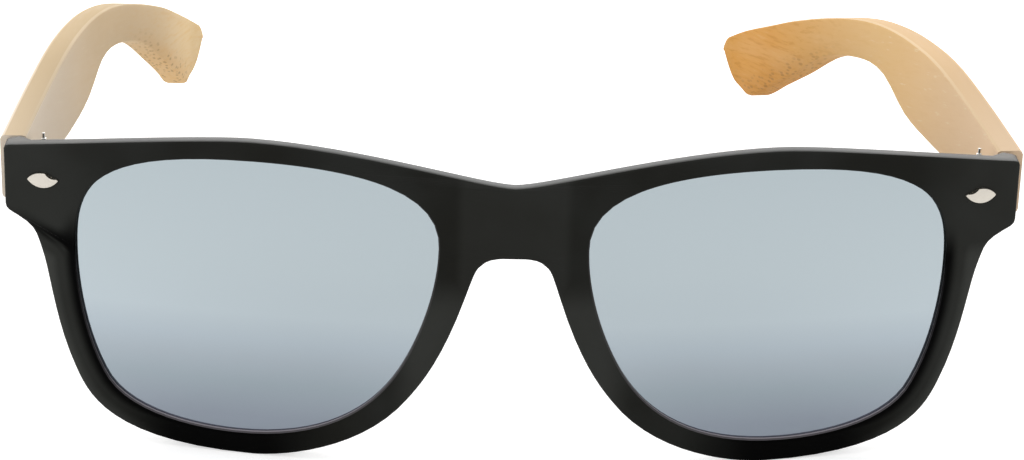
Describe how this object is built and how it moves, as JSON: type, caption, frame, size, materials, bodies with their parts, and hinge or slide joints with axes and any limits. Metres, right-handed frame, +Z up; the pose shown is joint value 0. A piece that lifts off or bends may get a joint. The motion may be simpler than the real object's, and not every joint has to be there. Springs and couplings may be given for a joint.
{
  "type": "plastic sunglasses",
  "caption": "Sunglasses with a moulded black plastic front, mirrored lenses and curved wooden temples that fold on small screwed hinges",
  "frame": {"origin": "centre of the footprint of the whole object as it stands in the picture, at the height of the bottom of the rims", "axes": "+X is the viewer's right when facing the front, +Y runs back along the temples, +Z is up along the front"},
  "size_m": [0.1475, 0.1554, 0.0484],
  "materials": {
    "black_plastic": "fine matte black moulding, slightly paler on its upper faces",
    "mirror_lens": "silver mirror coating over tinted plastic, cool grey",
    "stud_steel": "satin, slightly domed",
    "hinge_steel": "plain plated steel",
    "screw_steel": "bright plated, slotted head",
    "bamboo": "fine lengthwise bamboo grain under a satin clear coat"
  },
  "bodies": {
    "front": {"front_frame": "black_plastic", "lens_left": "mirror_lens", "lens_right": "mirror_lens", "front_stud_left": "stud_steel", "front_stud_right": "stud_steel", "front_hinge_left": "hinge_steel", "front_hinge_right": "hinge_steel", "front_hinge_rivets_left": "hinge_steel", "front_hinge_rivets_right": "hinge_steel", "hinge_screw_left": "screw_steel", "hinge_screw_right": "screw_steel"},
    "left_temple": {"temple_left": "bamboo", "temple_hinge_left": "hinge_steel"},
    "right_temple": {"temple_right": "bamboo", "temple_hinge_right": "hinge_steel"}
  },
  "joints": [
    {"name": "left_temple_fold", "type": "hinge", "parent": "front", "child": "left_temple", "pos_m": [-0.0677, -0.06, 0.0385], "axis": [0, 0, -1], "range_deg": [0, 85]},
    {"name": "right_temple_fold", "type": "hinge", "parent": "front", "child": "right_temple", "pos_m": [0.0677, -0.06, 0.0385], "axis": [0, 0, 1], "range_deg": [-5, 74]}
  ]
}
